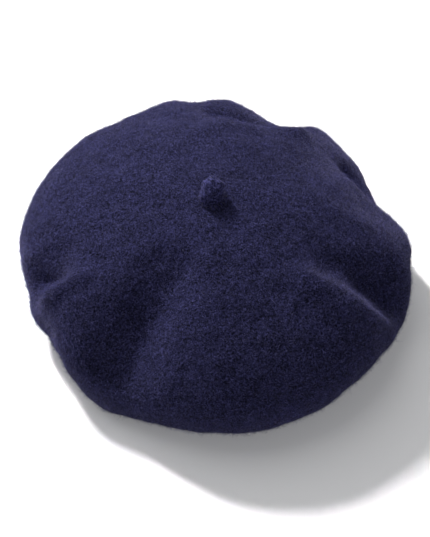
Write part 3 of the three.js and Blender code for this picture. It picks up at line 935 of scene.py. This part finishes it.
class BERET_OT_drawstring(bpy.types.Operator):
    """Add the twisted drawstring in its channel and the flat knot at the back"""
    bl_idname = "beret.drawstring"
    bl_label = "Drawstring"

    def execute(self, context):
        radius = CORD_WIDTH / 2
        gap = math.degrees((KNOT_HIGH[0] - KNOT_LOW[0]) / 2 / CORD_RADIUS) + 0.3
        bearings = np.linspace(BACK + gap, BACK + 360 - gap, 640)
        cord = Parts()
        add_strands(cord, on_ring(CORD_RADIUS, bearings, CORD_HEIGHT), radius)
        string = cord.piece("drawstring_cord", material("cord"))
        settle(string, "hat", "drawstring_cord", "drawstring")

        knot = Parts()
        left = self.half_knot(gap)
        add_strands(knot, left, radius * 0.82)
        add_strands(knot, left * (-1, -1, 1) + (0, 2 * KNOT_CENTRE[1], 0), radius * 0.82)
        tied = knot.piece("drawstring_knot_tied", material("cord"))
        settle(tied, "hat", "drawstring_cord", "drawstring_knot")
        return {"FINISHED"}

    def half_knot(self, gap):
        """One cord's loop of a reef knot: in from the channel, round the other loop and out again
        as a short end. The other cord's is this one turned half round about the knot's middle."""
        start = on_ring(CORD_RADIUS, BACK + gap, CORD_HEIGHT)
        over = 0.75
        points = [
            (-3.4, over, 0.75), (-2.3, over, 0.8), (0.0, -over, 1.3), (2.2, over, 2.0),
            (3.5, over * 1.1, 1.2), (3.9, over * 1.2, 0.0), (3.5, over * 1.1, -1.2),
            (2.2, over, -2.0), (0.0, -over, -1.3), (-2.3, over, -0.8), (-4.0, over, -1.1),
            (-5.4, over * 0.9, -1.9),
        ]
        loop = np.array(points) * MM * (1, -1, 1) + KNOT_CENTRE
        return curve_through(np.concatenate([[start], loop]), 7)


# ---- The label ---------------------------------------------------------------------------------------
LABEL_BEARING = 130
LABEL_WIDTH = 24 * MM
LABEL_THICKNESS = 0.4 * MM
LABEL_HINGE = np.array(JOINTS["label_swing"]["pos_m"])


class BERET_OT_label(bpy.types.Operator):
    """Add the blank woven label that hangs from the ribbon's upper seam, and its stitches"""
    bl_idname = "beret.label"
    bl_label = "Label"

    def execute(self, context):
        low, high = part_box("care_label")
        across = np.array((-math.sin(math.radians(LABEL_BEARING)), math.cos(math.radians(LABEL_BEARING)), 0))
        inward = -np.array((math.cos(math.radians(LABEL_BEARING)), math.sin(math.radians(LABEL_BEARING)), 0))
        columns, rows = 60, 40
        x = np.linspace(-0.5, 0.5, columns)[:, None] * LABEL_WIDTH
        drop = np.linspace(0, high[2] - low[2], rows)[None, :]
        set_in = ribbon_set_in(high[2] - drop) * (drop < 8 * MM) + CHANNEL_DEPTH * 0.97 * (drop >= 8 * MM)
        wave = 0.18 * MM * np.sin(TAU * x / (17 * MM)) * drop / (high[2] - low[2])
        curl = 0.5 * MM * (drop / (high[2] - low[2])) ** 3
        deep = set_in + wave + curl
        centre = LABEL_HINGE * (1, 1, 0) + x[..., None] * across + deep[..., None] * inward
        centre[..., 2] = high[2] - drop
        half = LABEL_THICKNESS / 2
        front = centre + inward * half
        back = centre - inward * half
        section = np.concatenate([front, back[:, ::-1]], 1)
        faces = grid_faces(columns, 2 * rows, wrap_columns=True)
        first = np.arange(2 * rows)[None, :]
        last = first[:, ::-1] + (columns - 1) * 2 * rows
        label = new_piece("care_label_tape", section.reshape(-1, 3), [faces[:, ::-1], first, last],
                          material("label"))
        settle(label, None, "label_tape", "care_label")
        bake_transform(label)
        self.add_stitches(across, inward)
        return {"FINISHED"}

    def add_stitches(self, across, inward):
        """Whipped stitches over the label's sewn top edge."""
        stitches = Parts()
        width = LABEL_WIDTH - 4 * MM
        for x in np.linspace(-width / 2, width / 2, 13):
            path = curve_through([
                LABEL_HINGE + across * (x - 0.3 * MM) + inward * 0.34 * MM - (0, 0, 1.3 * MM),
                LABEL_HINGE + across * x + inward * 0.36 * MM - (0, 0, 0.2 * MM),
                LABEL_HINGE + across * (x + 0.2 * MM) - inward * 0.1 * MM + (0, 0, 0.35 * MM),
                LABEL_HINGE + across * (x + 0.4 * MM) - inward * 1.1 * MM - (0, 0, 0.2 * MM),
            ], 4)
            stitches.add_tube(path, 0.17 * MM, 6)
        row = stitches.piece("label_stitches_thread", material("thread"))
        settle(row, "hat", "sewing_thread", "label_stitches")


# ---- The table, the lights and the camera ----------------------------------------------------------------
CAMERA_ELEVATION = 54
CAMERA_DISTANCE = 0.9
CAMERA_LENS = 86.9
AIM = (0, -9.3 * MM, 38.3 * MM)
KEY_BEARING = 124
KEY_ELEVATION = 38
KEY_DISTANCE = 2.5
KEY_SIZE = 0.36
FILL_BEARING = 130
FILL_ELEVATION = 56
FILL_DISTANCE = 2.2
FILL_SIZE = 2.4
KEY_POWER = 76
FILL_POWER = 18
TABLE_LIGHT = 0.62
SKY_STRENGTH = 0.22
LIT_POINT = (0, 0, 0.03)
TABLE_HALF = 6.0


def direction(bearing, elevation):
    b, e = math.radians(bearing), math.radians(elevation)
    return np.array((math.cos(b) * math.cos(e), math.sin(b) * math.cos(e), math.sin(e)))


def point_at(thing, target):
    away = thing.location - Vector(target)
    thing.rotation_euler = away.to_track_quat("Z", "Y").to_euler()


def add_area_light(name, bearing, elevation, distance, size, power):
    light = bpy.data.lights.new(name, "AREA")
    light.shape = "DISK"
    light.size = size
    light.energy = power
    lamp = bpy.data.objects.new(name, light)
    bpy.context.scene.collection.objects.link(lamp)
    lamp.location = tuple(direction(bearing, elevation) * distance)
    point_at(lamp, LIT_POINT)
    return lamp


class BERET_OT_stage(bpy.types.Operator):
    """Add the pale table, the soft light and the camera"""
    bl_idname = "beret.stage"
    bl_label = "Stage"

    def execute(self, context):
        scene = context.scene
        half = TABLE_HALF
        corners = [(-half, -half, 0), (half, -half, 0), (half, half, 0), (-half, half, 0)]
        table = new_piece("table_top", np.array(corners), [np.array([[0, 1, 2, 3]])], material("table"))

        world = bpy.data.worlds.new("studio")
        world.use_nodes = True
        sky = world.node_tree.nodes["Background"]
        sky.inputs["Color"].default_value = (0.97, 0.98, 1.0, 1)
        sky.inputs["Strength"].default_value = SKY_STRENGTH
        scene.world = world
        add_area_light("key_light", KEY_BEARING, KEY_ELEVATION, KEY_DISTANCE, KEY_SIZE, KEY_POWER)
        add_area_light("fill_light", FILL_BEARING, FILL_ELEVATION, FILL_DISTANCE, FILL_SIZE, FILL_POWER)
        self.add_table_light(table)

        lens = bpy.data.cameras.new("camera")
        lens.lens = CAMERA_LENS
        lens.sensor_width = 36
        lens.clip_end = 20
        lens.dof.use_dof = False
        camera = bpy.data.objects.new("camera", lens)
        scene.collection.objects.link(camera)
        view = direction(-90, CAMERA_ELEVATION) * CAMERA_DISTANCE
        camera.location = tuple(np.array(AIM) + view)
        point_at(camera, AIM)
        scene.camera = camera
        scene.view_settings.view_transform = "Standard"
        return {"FINISHED"}

    def add_table_light(self, table):
        """A light from above that falls on the table alone and keeps its shadows pale."""
        light = bpy.data.lights.new("table_light", "SUN")
        light.energy = TABLE_LIGHT
        lamp = bpy.data.objects.new("table_light", light)
        bpy.context.scene.collection.objects.link(lamp)
        only_table = bpy.data.collections.new("only_table")
        only_table.objects.link(table)
        lamp.light_linking.receiver_collection = only_table
        lamp.light_linking.blocker_collection = only_table


# ---- The add-on --------------------------------------------------------------------------------------------
class BERET_PT_panel(bpy.types.Panel):
    """The beret's sizes, colours and pieces"""
    bl_idname = "BERET_PT_panel"
    bl_label = "Beret"
    bl_space_type = "VIEW_3D"
    bl_region_type = "UI"
    bl_category = "Beret"

    def draw(self, context):
        layout = self.layout
        for group in (context.scene.beret_sizes, context.scene.beret_colours):
            box = layout.box()
            for name in group.__annotations__:
                box.prop(group, name)
        for operator in OPERATORS:
            layout.operator(operator.bl_idname)


OPERATORS = (
    BERET_OT_stage, BERET_OT_felt, BERET_OT_nap, BERET_OT_stem, BERET_OT_band, BERET_OT_drawstring,
    BERET_OT_label,
)
CLASSES = (BeretSizes, BeretColours, *OPERATORS, BERET_PT_panel)


def register():
    for cls in CLASSES:
        bpy.utils.register_class(cls)
    bpy.types.Scene.beret_sizes = bpy.props.PointerProperty(type=BeretSizes)
    bpy.types.Scene.beret_colours = bpy.props.PointerProperty(type=BeretColours)


def unregister():
    del bpy.types.Scene.beret_colours
    del bpy.types.Scene.beret_sizes
    for cls in reversed(CLASSES):
        bpy.utils.unregister_class(cls)


def main():
    register()
    for operator in OPERATORS:
        group, name = operator.bl_idname.split(".")
        getattr(getattr(bpy.ops, group), name)()


if __name__ == "__main__":
    main()
